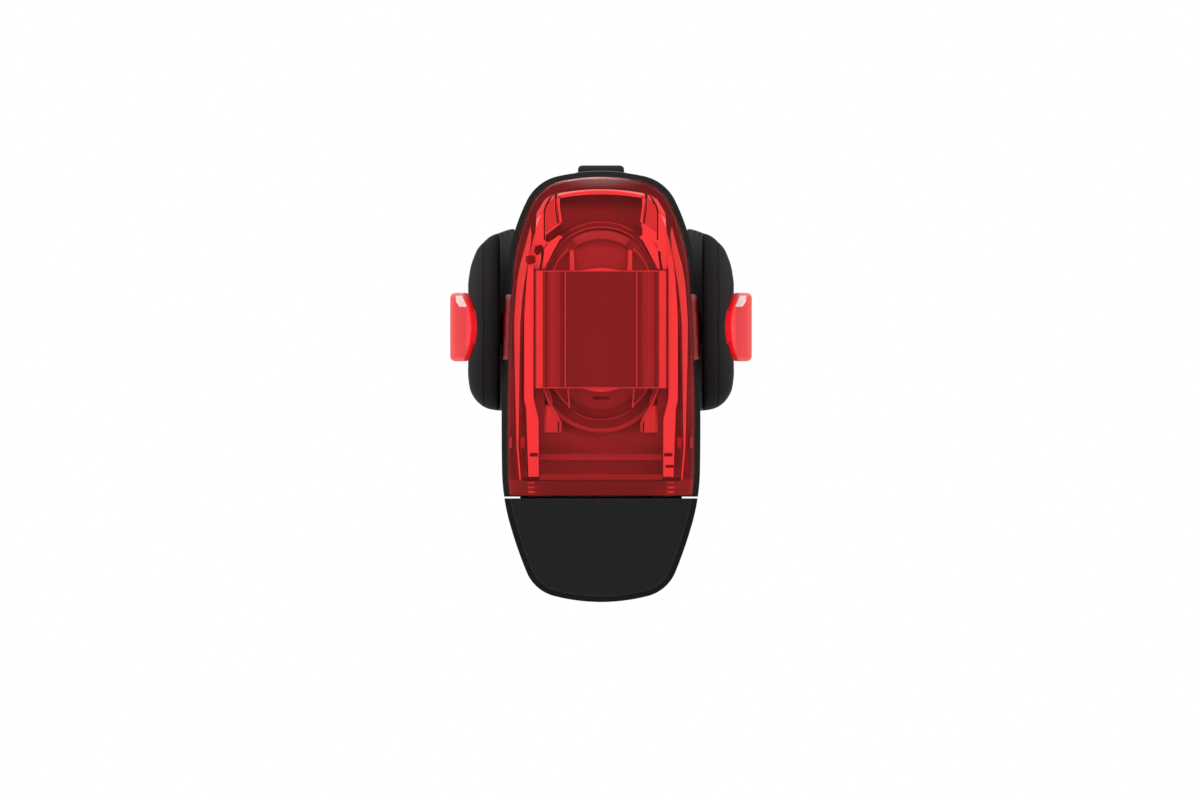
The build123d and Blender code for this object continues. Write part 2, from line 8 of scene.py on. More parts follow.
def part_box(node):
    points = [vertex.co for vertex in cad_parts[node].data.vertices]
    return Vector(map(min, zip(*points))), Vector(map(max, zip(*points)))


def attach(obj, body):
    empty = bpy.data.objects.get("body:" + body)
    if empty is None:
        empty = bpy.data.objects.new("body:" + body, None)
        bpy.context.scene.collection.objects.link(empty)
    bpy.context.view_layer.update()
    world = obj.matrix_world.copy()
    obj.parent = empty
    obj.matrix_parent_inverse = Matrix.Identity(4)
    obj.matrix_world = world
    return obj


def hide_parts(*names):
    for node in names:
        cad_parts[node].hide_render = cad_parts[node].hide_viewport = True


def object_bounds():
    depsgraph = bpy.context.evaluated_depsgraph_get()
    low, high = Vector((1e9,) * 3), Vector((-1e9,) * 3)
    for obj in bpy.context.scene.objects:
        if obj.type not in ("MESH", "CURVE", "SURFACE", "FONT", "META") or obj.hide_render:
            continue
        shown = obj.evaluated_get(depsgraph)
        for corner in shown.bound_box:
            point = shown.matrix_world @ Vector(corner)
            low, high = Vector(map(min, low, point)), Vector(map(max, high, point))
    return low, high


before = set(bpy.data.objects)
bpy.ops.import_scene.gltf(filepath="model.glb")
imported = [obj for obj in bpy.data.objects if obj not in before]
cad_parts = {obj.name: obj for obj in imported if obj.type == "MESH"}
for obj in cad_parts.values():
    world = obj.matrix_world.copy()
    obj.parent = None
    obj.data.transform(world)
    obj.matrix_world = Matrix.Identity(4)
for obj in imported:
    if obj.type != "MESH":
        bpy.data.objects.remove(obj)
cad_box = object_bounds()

# Housing: the black tub that carries everything. It is one ABS moulding, closed at the front by
# the lens. The spark-eroded mould leaves a fine matt grain on it.
mm = 0.001


def linear(colour):
    """An sRGB hex colour as the linear colour that a shader takes."""
    shares = [int(colour[place:place + 2], 16) / 255 for place in (1, 3, 5)]
    return tuple(s / 12.92 if s <= 0.04045 else ((s + 0.055) / 1.055) ** 2.4 for s in shares) + (1,)


def new_material(name):
    """An empty node material."""
    material = bpy.data.materials.new(name)
    material.use_nodes = True
    material.node_tree.nodes.clear()
    return material


def add(tree, kind, settings, inputs):
    """Adds one node. Each input takes a value or the output of an earlier node."""
    made = tree.node_tree.nodes.new(kind)
    for name, value in settings.items():
        setattr(made, name, value)
    for name, value in inputs.items():
        if isinstance(value, bpy.types.NodeSocket):
            tree.node_tree.links.new(value, made.inputs[name])
        else:
            made.inputs[name].default_value = value
    return made


def grained(material, place, grain, depth):
    """The normal of a surface with a fine raised grain of a given width and depth."""
    pits = add(material, "ShaderNodeTexNoise", {}, {"Vector": place, "Scale": 1 / grain, "Detail": 2})
    bump = add(material, "ShaderNodeBump", {}, {
        "Strength": 0.35, "Distance": depth, "Height": pits.outputs["Fac"]
    })
    return bump.outputs[0]


def moulded(name, dark, light, patch, grain, depth, roughness, ior):
    """A moulded plastic or rubber: two close shades in soft patches, and a fine raised grain."""
    polish_spread = 0.06
    material = new_material(name)
    place = add(material, "ShaderNodeTexCoord", {}, {}).outputs["Object"]
    cloud = add(material, "ShaderNodeTexNoise", {}, {"Vector": place, "Scale": 1 / patch, "Detail": 4})
    shade = add(material, "ShaderNodeMix", {"data_type": "RGBA"}, {
        "Factor": cloud.outputs["Fac"], 6: linear(dark), 7: linear(light)
    })
    rough = add(material, "ShaderNodeMapRange", {}, {
        "Value": cloud.outputs["Fac"],
        "To Min": roughness - polish_spread, "To Max": roughness + polish_spread
    })
    skin = add(material, "ShaderNodeBsdfPrincipled", {}, {
        "Base Color": shade.outputs[2], "Roughness": rough.outputs[0],
        "IOR": ior, "Normal": grained(material, place, grain, depth)
    })
    add(material, "ShaderNodeOutputMaterial", {}, {"Surface": skin.outputs[0]})
    return material


def dress(names, material, edge=0, edge_material=None, draw_in=0):
    """Gives CAD nodes their material, and where asked a rounded edge or a hair of clearance."""
    corner_gap = 0.001 * mm
    sharpest_kept = math.radians(35)
    for name in names:
        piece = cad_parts[name]
        piece.data.materials.clear()
        piece.data.materials.append(material)
        if edge + draw_in > 0:
            welding = piece.modifiers.new("Joined corners", "WELD")
            welding.merge_threshold = corner_gap
        if draw_in > 0:
            clearance = piece.modifiers.new("Clearance", "DISPLACE")
            clearance.strength = -draw_in
            clearance.mid_level = 0
        if edge > 0:
            rounding = piece.modifiers.new("Rounded edge", "BEVEL")
            rounding.width = edge
            rounding.segments = 2
            rounding.angle_limit = sharpest_kept
            rounding.harden_normals = True
            if edge_material:
                piece.data.materials.append(edge_material)
                rounding.material = 1


# The mould's grain is about 0.1 mm on the real shell, drawn at 0.3 mm so that it shows
housing_plastic = moulded(
    "ABS, black, spark-eroded mould", "#232625", "#2A2D2C", 9 * mm, 0.3 * mm, 0.02 * mm, 0.55, 1.06
)
dress(["back_shell"], housing_plastic)

# Saddle pad: a softer rubber pad between the housing and the seat post, glued to the back
# wall. Its hollow face has grooves that hold the post, and its skin has hardly any shine.
pad_voxel = 0.35 * mm
pad_smoothing = 8


def soften(node_name, name, voxel, passes):
    """A copy of a CAD solid as one smooth skin with soft edges, as moulded rubber has."""
    piece = bpy.data.objects.new(name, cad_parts[node_name].data.copy())
    bpy.context.scene.collection.objects.link(piece)
    skin = piece.modifiers.new("Skin", "REMESH")
    skin.mode = "VOXEL"
    skin.voxel_size = voxel
    skin.use_smooth_shade = True
    ease = piece.modifiers.new("Soft edges", "SMOOTH")
    ease.factor = 0.5
    ease.iterations = passes
    depsgraph = bpy.context.evaluated_depsgraph_get()
    mesh = bpy.data.meshes.new_from_object(piece.evaluated_get(depsgraph))
    piece.modifiers.clear()
    piece.data = mesh
    return piece


def stand_in(piece, node_name, material, body):
    """Gives a softened copy its material and the place of its CAD node."""
    piece.data.materials.clear()
    piece.data.materials.append(material)
    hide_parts(node_name)
    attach(piece, body)


pad_rubber = moulded(
    "Rubber, soft black, moulded", "#101010", "#1A1A1A", 4 * mm, 0.3 * mm, 0.03 * mm, 0.62, 1.2
)
saddle_pad = soften("saddle_pad", "rubber_saddle_pad", pad_voxel, pad_smoothing)
stand_in(saddle_pad, "saddle_pad", pad_rubber, "housing")

# Power button: silicone rubber, moulded with a flange that is trapped under the top wall. It
# presses the switch's stem and looks a shade greyer than the tub.
button_voxel = 0.18 * mm
button_smoothing = 6
button_rubber = moulded(
    "Silicone, black, moulded", "#282828", "#303030", 3 * mm, 0.25 * mm, 0.02 * mm, 0.7, 1.05
)
power_button = soften("power_button", "rubber_power_button", button_voxel, button_smoothing)
stand_in(power_button, "power_button", button_rubber, "button")

# Button lip: a thin pale ring round the button, a painted highlight where the tub's top edge
# catches the light from above. It follows the crown of the tub's top.
lip_inner_x = 3.82 * mm
lip_inner_y = 3.32 * mm
lip_width = 0.22 * mm
lip_corner = 0.9 * mm
lip_foot = 24.8 * mm
lip_top = 25.03 * mm
crown_radius = 28 * mm
lip_steps = 8


def join_rings(mesh_work, near, far):
    """Faces from one ring of corners to the next."""
    for place in range(len(near)):
        after = (place + 1) % len(near)
        mesh_work.faces.new((near[place], near[after], far[after], far[place]))


def keep(name, mesh_work, material, body):
    """Turns finished mesh work into a named piece that rides on a body."""
    mesh = bpy.data.meshes.new(name)
    bmesh.ops.recalc_face_normals(mesh_work, faces=mesh_work.faces)
    mesh_work.to_mesh(mesh)
    mesh_work.free()
    piece = bpy.data.objects.new(name, mesh)
    piece.data.materials.append(material)
    bpy.context.scene.collection.objects.link(piece)
    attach(piece, body)
    return piece


button_low, button_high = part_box("power_button")
lip_middle = (button_low[1] + button_high[1]) / 2
work = bmesh.new()
rows = []
for grow in (0, lip_width):
    half_x, half_y = lip_inner_x + grow, lip_inner_y + grow
    flat = half_x - lip_corner
    across = [flat - 2 * flat * step / lip_steps for step in range(lip_steps + 1)]
    plan = [(half_x, half_y - lip_corner)] + [(x, half_y) for x in across]
    plan += [(-half_x, half_y - lip_corner)]
    plan += [(-x, -y) for x, y in plan]
    for height in (lip_foot, lip_top):
        rows.append([
            work.verts.new((x, lip_middle + y, height + math.sqrt(crown_radius ** 2 - x ** 2) - crown_radius))
            for x, y in plan
        ])
inner_foot, inner_top, outer_foot, outer_top = rows
join_rings(work, inner_foot, inner_top)
join_rings(work, inner_top, outer_top)
join_rings(work, outer_top, outer_foot)
join_rings(work, outer_foot, inner_foot)
lip_highlight_paint = moulded(
    "ABS, black, painted highlight", "#6A6C6C", "#787A7A", 2 * mm, 0.2 * mm, 0.01 * mm, 0.35, 1.4
)
keep("button_edge_highlight", work, lip_highlight_paint, "housing")

# Battery: a pouch cell in crimped aluminium foil, on a strip of open-cell foam that holds it
# off the back wall. The foil has shallow creases about 3 mm apart, and the foam is dull.
crease_pitch = 3 * mm
foil = new_material("Aluminium foil, laminated pouch")
foil_place = add(foil, "ShaderNodeTexCoord", {}, {}).outputs["Object"]
creases = add(foil, "ShaderNodeTexVoronoi", {"feature": "DISTANCE_TO_EDGE"}, {
    "Vector": foil_place, "Scale": 1 / crease_pitch
})
foil_bump = add(foil, "ShaderNodeBump", {}, {
    "Strength": 0.25, "Distance": 0.05 * mm, "Height": creases.outputs["Distance"]
})
# The creases are painted darker than the flat foil between them, a painted shade
foil_shade = add(foil, "ShaderNodeMix", {"data_type": "RGBA"}, {
    "Factor": creases.outputs["Distance"], 6: linear("#B4B6BA"), 7: linear("#CDCFD2")
})
foil_skin = add(foil, "ShaderNodeBsdfPrincipled", {}, {
    "Base Color": foil_shade.outputs[2], "Metallic": 1.0, "Roughness": 0.32,
    "Normal": foil_bump.outputs[0]
})
add(foil, "ShaderNodeOutputMaterial", {}, {"Surface": foil_skin.outputs[0]})
dress(["battery_cell"], foil)
foam = moulded(
    "Polyurethane foam, grey, cut", "#4A4A4C", "#636366", 1 * mm, 0.35 * mm, 0.1 * mm, 0.85, 1.3
)
dress(["battery_foam"], foam)

# Switch: a nylon body soldered to the board's upper edge, and its acetal stem, which slides in
# it. The board's chips and link are as black as its body. Both plastics shine a little.
stem_clearance = 0.03 * mm
switch_nylon = moulded(
    "Nylon, black, moulded", "#151515", "#1E1E1E", 2 * mm, 0.2 * mm, 0.02 * mm, 0.45, 1.45
)
dress(["switch_body", "board_chips", "board_link"], switch_nylon)
stem_acetal = moulded(
    "Acetal, grey, moulded", "#6E6E70", "#79797B", 2 * mm, 0.2 * mm, 0.01 * mm, 0.35, 1.45
)
dress(["switch_stem"], stem_acetal, draw_in=stem_clearance)

# Main board: glass-fibre laminate under green solder mask, screwed to the housing. The weave's
# threads are about 0.5 mm apart. They are drawn about 3 mm apart so that they show.
weave_pitch = 3.14 * mm
# A wave texture of scale 1 repeats after this length
wave_length = 0.314
laminate = new_material("Glass-fibre laminate, solder mask")
board_place = add(laminate, "ShaderNodeTexCoord", {}, {}).outputs["Object"]
warp, weft = [
    add(laminate, "ShaderNodeTexWave", {"bands_direction": direction}, {
        "Vector": board_place, "Scale": wave_length / weave_pitch, "Distortion": 0.4
    })
    for direction in ("X", "Z")
]
weave = add(laminate, "ShaderNodeMath", {"operation": "MULTIPLY"}, {
    0: warp.outputs["Fac"], 1: weft.outputs["Fac"]
})
mask_colour = add(laminate, "ShaderNodeMix", {"data_type": "RGBA"}, {
    "Factor": weave.outputs[0], 6: linear("#123A22"), 7: linear("#1D5331")
})
weave_bump = add(laminate, "ShaderNodeBump", {}, {
    "Strength": 0.3, "Distance": 0.02 * mm, "Height": weave.outputs[0]
})
mask = add(laminate, "ShaderNodeBsdfPrincipled", {}, {
    "Base Color": mask_colour.outputs[2], "Roughness": 0.3, "Normal": weave_bump.outputs[0]
})
add(laminate, "ShaderNodeOutputMaterial", {}, {"Surface": mask.outputs[0]})
dress(["main_board"], laminate)


# Screws and battery tabs: zinc-plated steel screws that hold the main board, and the nickel
# strips that join the cell to it. Both are bright, with a few soft stains.
def metal(name, dark, light, patch, roughness):
    """A drawn or plated metal, with soft stains and fine drawing lines along its height."""
    line_stretch = 0.06
    material = new_material(name)
    place = add(material, "ShaderNodeTexCoord", {}, {}).outputs["Object"]
    stretch = add(material, "ShaderNodeMapping", {}, {"Vector": place, "Scale": (1, 1, line_stretch)})
    lines = add(material, "ShaderNodeTexNoise", {}, {
        "Vector": stretch.outputs[0], "Scale": 1 / patch, "Detail": 5
    })
    shade = add(material, "ShaderNodeMix", {"data_type": "RGBA"}, {
        "Factor": lines.outputs["Fac"], 6: linear(dark), 7: linear(light)
    })
    rough = add(material, "ShaderNodeMapRange", {}, {
        "Value": lines.outputs["Fac"], "To Min": roughness - 0.05, "To Max": roughness + 0.08
    })
    skin = add(material, "ShaderNodeBsdfPrincipled", {}, {
        "Base Color": shade.outputs[2], "Metallic": 1.0, "Roughness": rough.outputs[0]
    })
    add(material, "ShaderNodeOutputMaterial", {}, {"Surface": skin.outputs[0]})
    return material


zinc = metal("Steel, zinc-plated", "#A5A8AD", "#C2C5C9", 0.4 * mm, 0.3)
dress(["board_screws", "battery_tabs"], zinc)

# Charging plug: nickel-plated steel shell, folded and dovetailed, a black nylon tongue against
# one wall and four gold-plated contacts. It is held in the neck of the housing. The plating is
# bright and the nylon dull.
plug_nickel = metal("Steel, nickel-plated, folded", "#B9BABC", "#D2D3D4", 0.5 * mm, 0.24)
dress(["usb_shell"], plug_nickel)
tongue_nylon = moulded(
    "Nylon, black, glass-filled", "#18181A", "#232326", 2 * mm, 0.2 * mm, 0.02 * mm, 0.4, 1.45
)
dress(["usb_tongue"], tongue_nylon)
gold = metal("Brass, gold-plated", "#D9A83A", "#EBC465", 0.3 * mm, 0.22)
dress(["usb_contacts"], gold)

# Light board: an aluminium-core board with a white printed mask, held by the carrier's posts,
# and three diodes under soft yellow silicone.
board_mask = moulded(
    "Solder mask, white, screen-printed", "#E4E4E0", "#EEEEEA", 4 * mm, 0.4 * mm, 0.01 * mm, 0.35, 1.45
)
dress(["led_board"], board_mask)
diode_silicone = moulded(
    "Silicone, yellow phosphor, cast", "#D9B63C", "#E6C858", 1 * mm, 0.2 * mm, 0.01 * mm, 0.3, 1.4
)
dress(["leds"], diode_silicone)

# Carrier: the plain plate behind the optics, one moulding in grey ABS with a satin face. The
# optics sit on it and its posts hold the light board.
carrier_plastic = new_material("ABS, mid grey, satin mould")
carrier_place = add(carrier_plastic, "ShaderNodeTexCoord", {}, {}).outputs["Object"]


def shades_along(material, place, axis, stops):
    """Colour that runs along an axis through shades set in millimetres, alike on both sides."""
    value = add(material, "ShaderNodeSeparateXYZ", {}, {"Vector": place}).outputs[axis]
    if axis == "X":
        value = add(material, "ShaderNodeMath", {"operation": "ABSOLUTE"}, {0: value}).outputs[0]
    start, end = stops[0][0], stops[-1][0]
    share = add(material, "ShaderNodeMapRange", {}, {
        "Value": value, "From Min": start * mm, "From Max": end * mm
    })
    run = add(material, "ShaderNodeValToRGB", {}, {"Fac": share.outputs[0]})
    ramp = run.color_ramp
    ramp.elements[0].color = linear(stops[0][1])
    ramp.elements[1].color = linear(stops[-1][1])
    for stop, colour in stops[1:-1]:
        ramp.elements.new((stop - start) / (end - start)).color = linear(colour)
    return run.outputs[0]


def clouded(material, place, colour, patch, share, detail=4):
    """A colour with soft darker patches of a given size over it."""
    cloud = add(material, "ShaderNodeTexNoise", {}, {
        "Vector": place, "Scale": 1 / patch, "Detail": detail
    })
    shade = add(material, "ShaderNodeMix", {"data_type": "RGBA", "blend_type": "MULTIPLY"}, {
        "Factor": share, 6: colour, 7: cloud.outputs["Color"]
    })
    return shade.outputs[2]


# Painted light and shade along the height: darker under the crown, paler down at the shelf,
# and palest on the shelf's step, which lies in shade
carrier_painted_shading = shades_along(carrier_plastic, carrier_place, "Z", [
    (-26, "#B0ACAE"), (-23.6, "#A09C9E"), (-23.4, "#C4BEC0"), (-21.3, "#D8D2D4"), (-21.0, "#A8A4A6"),
    (-19.0, "#A8A4A6"), (-17.2, "#B2AEB0"), (-15.5, "#8E8A8C"), (16.5, "#A4A0A2"), (18.4, "#A09C9E"),
    (20.0, "#787476"), (23, "#6C686A")
])
carrier_skin = add(carrier_plastic, "ShaderNodeBsdfPrincipled", {}, {
    "Base Color": clouded(carrier_plastic, carrier_place, carrier_painted_shading, 5 * mm, 0.1),
    "Roughness": 0.4, "IOR": 1.2
})
add(carrier_plastic, "ShaderNodeOutputMaterial", {}, {"Surface": carrier_skin.outputs[0]})
dress(["optic_carrier"], carrier_plastic)

# Side reflectors: white ABS from a mirror-polished mould, clipped to the carrier. They catch the
# daylight and show as the brightest strips through the lens.
reflector_edge_round = 0.12 * mm
reflector_plastic = moulded(
    "ABS, white, mirror-polished mould", "#F6F4F2", "#FBFAF8", 6 * mm, 0.8 * mm, 0.01 * mm, 0.16, 1.5
)
dress(["side_reflector_left", "side_reflector_right"], reflector_plastic, reflector_edge_round)

# Collimator: moulded acrylic with a stepped face, set on the carrier. Light from all sides
# leaves through it, so it looks milky and paler than the carrier round it.
collimator_edge_round = 0.15 * mm
collimator_acrylic = moulded(
    "Acrylic, frosted steps, moulded", "#ABA5A6", "#B9B3B4", 5 * mm, 0.5 * mm, 0.01 * mm, 0.22, 1.5
)
dress(["collimator"], collimator_acrylic, collimator_edge_round)

# Prism block: the clear rectangular optic that stands on the collimator's flange, moulded in
# acrylic with bevelled sides. Its polished front hides part of what is behind it.
block_acrylic = new_material("Acrylic, clear, polished mould")
block_place = add(block_acrylic, "ShaderNodeTexCoord", {}, {}).outputs["Object"]
# The flat middle is plain. Across the bevelled sides light and shade are painted: a dark line,
# then grey, then a bright edge
block_painted_shading = shades_along(block_acrylic, block_place, "X", [
    (0, "#959294"), (5.5, "#918E90"), (5.75, "#8A8487"), (5.95, "#888084"), (6.45, "#90888C"),
    (6.65, "#ACA4A7"), (7.8, "#BEB6B9"), (8.5, "#AAA2A5"), (8.7, "#888084"), (8.9, "#888084"),
    (8.95, "#C4BABD"), (9.15, "#BAB0B3"), (9.3, "#C4BEC0"), (10.6, "#C4BEC0")
])
block_body = add(block_acrylic, "ShaderNodeBsdfPrincipled", {}, {
    "Base Color": clouded(block_acrylic, block_place, block_painted_shading, 7 * mm, 0.15, 2),
    "Roughness": 0.15, "Specular IOR Level": 0.4
})
block_clear = add(block_acrylic, "ShaderNodeBsdfTransparent", {}, {"Color": linear("#F4F4F4")})
block_mix = add(block_acrylic, "ShaderNodeMixShader", {}, {
    0: 0.8, 1: block_clear.outputs[0], 2: block_body.outputs[0]
})
add(block_acrylic, "ShaderNodeOutputMaterial", {}, {"Surface": block_mix.outputs[0]})
dress(["prism_block"], block_acrylic)

# Reflector arch: the white bridge over the optics that joins the two side reflectors. It comes
# from their polished mould and shines as they do.
arch_half_width = 6.75
arch_top = 22.0
arch_sag = 0.62
arch_thickness = 0.8
arch_steps = 12
arch_back = 31.6 * mm
panel_face = 36.2 * mm
arch_places = [arch_half_width * (2 * step / arch_steps - 1) for step in range(arch_steps + 1)]
arch_crown = [(x, arch_top - arch_sag * (x / arch_half_width) ** 2) for x in arch_places]
arch_outline = arch_crown + [(x, z - arch_thickness) for x, z in reversed(arch_crown)]


def plates(name, outlines, back, front, material, both_sides=True):
    """Thin flat pieces cut to front-view outlines in millimetres, on one side or on both."""
    work = bmesh.new()
    for outline in outlines:
        for side in ((1, -1) if both_sides else (1,)):
            near = [work.verts.new((side * x * mm, -back, z * mm)) for x, z in outline]
            far = [work.verts.new((side * x * mm, -front, z * mm)) for x, z in outline]
            work.faces.new(near)
            work.faces.new(far)
            join_rings(work, near, far)
    return keep(name, work, material, "housing")


plates("reflector_arch", [arch_outline], arch_back, panel_face, reflector_plastic, False)

# Corner panels: the reflectors' upper ends, moulded in facets that throw the light sideways.
# Dark grooves divide the facets, and outside them the edge shows in the lens's thick wall.
# Grooves and facets are drawn as plates of painted shade, the edge as a plate of painted light.
hair = 0.05 * mm
strip_thickness = 0.6 * mm
strip_back = panel_face - strip_thickness
groove_shade = moulded(
    "ABS, white, shaded groove", "#4E4245", "#5A4C4F", 3 * mm, 0.3 * mm, 0.01 * mm, 0.5, 1.2
)
facet_shade = moulded(
    "ABS, white, shaded facet", "#CFC3C3", "#DACFCF", 3 * mm, 0.3 * mm, 0.01 * mm, 0.3, 1.4
)
edge_red = moulded(
    "Acrylic, clear red, lit edge", "#E48A88", "#EC9694", 6 * mm, 0.8 * mm, 0.01 * mm, 0.2, 1.4
)
panel_grooves = [
    [(8.1, 20.55), (8.32, 20.5), (8.95, 19.3), (9.14, 18.4), (9.14, 13.9), (8.94, 13.9),
     (8.94, 18.3), (8.72, 19.2)],
    [(7.02, 21.35), (7.24, 21.35), (7.36, 20.0), (7.3, 18.4), (6.98, 16.5), (6.76, 16.6),
     (7.08, 18.5), (7.14, 20.0)],
    [(6.3, 14.0), (6.5, 14.1), (7.5, 12.3), (8.2, 10.9), (8.05, 10.8), (7.3, 12.1)],
]
panel_facets = [
    [(8.0, 20.5), (7.45, 21.2), (7.5, 19.8), (7.4, 18.3), (7.05, 16.4), (8.85, 15.1),
     (8.85, 18.3), (8.6, 19.2)]
]
panel_strips = [
    [(6.95, 21.4), (6.53, 20.8), (6.6, 19.4), (6.26, 16.8), (6.7, 16.55), (7.0, 18.6), (7.05, 20.2)],
    [(8.62, 13.32), (6.73, 14.67), (6.13, 14.46), (6.73, 13.18), (7.81, 11.57), (8.62, 10.22),
     (9.02, 9.3), (9.43, 9.3), (9.2, 11.16), (9.02, 12.91)],
]
# On the right the corner panel runs on to the strip below it
panel_bridge = [(6.62, 15.9), (9.1, 15.9), (9.1, 12.8), (6.6, 14.7)]
panel_sides = [
    [(10.34, 17.25), (10.37, 16.28), (10.71, 13.59), (10.77, 12.0), (10.9, 10.2), (10.5, 9.2),
     (9.9, 9.2), (9.6, 10.6), (9.43, 13.3), (9.2, 14.6), (9.2, 18.25)]
]
panel_edges = [
    [(7.54, 21.27), (8.89, 20.46), (9.29, 19.92), (10.30, 18.17), (10.34, 17.25), (9.2, 18.25),
     (9.2, 18.5), (8.92, 19.5), (8.3, 20.6)]
]
plates("panel_grooves", panel_grooves, panel_face, panel_face + hair, groove_shade)
plates("panel_facets", panel_facets, panel_face, panel_face + hair, facet_shade)
plates("panel_strips", panel_strips, strip_back, panel_face, reflector_plastic)
plates(
    "panel_bridge", [panel_bridge], strip_back, panel_face - hair, reflector_plastic, False
)
plates("panel_sides", panel_sides, panel_face, panel_face + hair, reflector_plastic)
plates("panel_edges", panel_edges, panel_face, panel_face + hair, edge_red)

# Slanting streak: a dark streak of painted shadow on the left reflector, drawn as patches in
# one slanting row.
streak_shadow_paint = moulded(
    "ABS, white, painted shadow streak", "#5A4448", "#664E52", 3 * mm, 0.3 * mm, 0.01 * mm, 0.5, 1.2
)
slanting_shadow_patches = [
    [(-8.82, 14.67), (-6.73, 16.28), (-6.33, 16.42), (-6.46, 15.47), (-8.35, 13.59), (-8.89, 13.72)],
    [(-10.5, 12.91), (-9.56, 13.18), (-9.12, 12.65), (-9.16, 12.17), (-10.23, 11.43), (-10.7, 11.97)],
]
plates("slanting_shadow_patches", slanting_shadow_patches, panel_face + hair, panel_face + 2 * hair, streak_shadow_paint, False)

# Wedges: the reflectors' inner ends under the block, moulded as slanting facets with a groove
# along each, drawn in painted shade. A grey plate of painted shade fills the gap that divides
# them from the side strips.
wedge_facets = [
    [(8.72, -12.4), (7.9, -12.9), (6.93, -14.7), (6.93, -16.75), (8.72, -16.75)],
    [(9.3, -9.9), (8.95, -9.9), (8.0, -12.2), (6.65, -14.5), (6.3, -15.3), (6.3, -16.75),
     (6.62, -16.75), (6.62, -15.4), (6.95, -14.7), (8.25, -12.4)],
    [(8.6, -9.9), (8.42, -9.9), (7.7, -12.1), (7.85, -12.15)],
]
wedge_grooves = [[(6.68, -15.3), (6.9, -14.9), (6.9, -16.75), (6.68, -16.75)]]
wedge_gaps = [[(10.75, -9.6), (9.05, -9.6), (9.05, -18.05), (9.95, -18.05), (9.95, -14.5), (10.6, -11.5)]]
gap_painted_shade = moulded(
    "ABS, grey, shaded gap", "#7E7678", "#8A8284", 3 * mm, 0.3 * mm, 0.01 * mm, 0.4, 1.3
)
plates("wedge_facets", wedge_facets, panel_face, panel_face + hair, facet_shade)
plates("wedge_grooves", wedge_grooves, panel_face + hair, panel_face + 2 * hair, groove_shade)
plates("wedge_gaps", wedge_gaps, panel_face - 2 * hair, panel_face - hair, gap_painted_shade)

# Arrises of the prism block: the bright columns of its bevelled sides and the thin lit lines
# round its flat front. They are painted highlights: pale plates laid where the block's edges
# catch the light.
block_low, block_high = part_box("prism_block")
block_right = block_high[0] / mm
block_top = block_high[2] / mm
block_foot = block_low[2] / mm
block_face = -block_low[1]
shoulder_face = block_face - 1.15 * mm
column_face = block_face - 0.2 * mm
side_column = 1.05
column_inset = 0.25
arris_width = 0.14
flat_half = 5.65
arris = moulded(
    "Acrylic, clear, lit arris", "#E9E4E4", "#F3EEEE", 2 * mm, 0.3 * mm, 0.01 * mm, 0.2, 1.5
)


def bar(x_low, x_high, z_low, z_high):
    """Outline of an upright bar."""
    return [(x_low, z_low), (x_high, z_low), (x_high, z_high), (x_low, z_high)]


block_columns = [
    bar(block_right - column_inset - side_column, block_right - column_inset, block_foot, block_top)
]
block_arrises = [
    bar(flat_half, flat_half + arris_width, block_foot, block_top),
    bar(0, block_right - side_column, block_top - arris_width, block_top),
    bar(0, block_right - side_column, block_foot, block_foot + arris_width),
]
plates("block_columns", block_columns, shoulder_face, column_face, arris)
plates("block_arrises", block_arrises, block_face, block_face + hair, arris)

# Rings of the collimator: the edges of its moulded steps, some in shade and some lit. Each is a
# curved band about the upper or the lower centre of the optic.
flange_low, flange_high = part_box("collimator")
ring_centre = (flange_high[2] - flange_high[0]) / mm
ring_face = -flange_low[1]
pale_face = ring_face + hair
arc_steps = 14
ring_shade = moulded(
    "Acrylic, frosted steps, shaded", "#7C7274", "#887E80", 3 * mm, 0.3 * mm, 0.01 * mm, 0.3, 1.3
)
glow_acrylic = moulded(
    "Acrylic, frosted steps, lit", "#AAB8B8", "#B6C4C4", 3 * mm, 0.3 * mm, 0.01 * mm, 0.25, 1.5
)


def arc_band(radius, width, start, end, centre):
    """Outline of a curved band, its angles in degrees from the right-hand side."""
    angles = [math.radians(start + (end - start) * place / arc_steps) for place in range(arc_steps + 1)]
    outer = [((radius + width) * math.cos(a), centre + (radius + width) * math.sin(a)) for a in angles]
    inner = [(radius * math.cos(a), centre + radius * math.sin(a)) for a in reversed(angles)]
    return outer + inner


shaded_arcs = [
    arc_band(9.4, 0.75, 30, 150, ring_centre), arc_band(7.05, 0.2, 35, 145, ring_centre),
    arc_band(8.3, 1.2, 205, 335, -ring_centre), arc_band(6.8, 0.9, 222, 318, -ring_centre),
]
pale_arcs = [
    arc_band(9.2, 0.16, 55, 125, ring_centre), arc_band(10.02, 0.1, 60, 120, ring_centre),
    arc_band(8.05, 0.12, 235, 305, -ring_centre), arc_band(9.75, 0.12, 245, 295, -ring_centre),
]
lit_step = arc_band(7.4, 1.35, 58, 122, ring_centre)
# Beside the block a thinner band follows the ring a little nearer to the middle
bright_shift = 0.4
bright_arcs = [
    arc_band(8.0, 0.22, 20, 50, ring_centre - bright_shift),
    arc_band(8.0, 0.2, 310, 340, bright_shift - ring_centre),
]
plates("shaded_arcs", shaded_arcs, ring_face, pale_face, ring_shade, False)
plates("pale_arcs", pale_arcs, pale_face, pale_face + hair, facet_shade, False)
plates("lit_step", [lit_step], ring_face, pale_face, glow_acrylic, False)
plates("bright_arcs", bright_arcs, pale_face, pale_face + hair, arris)

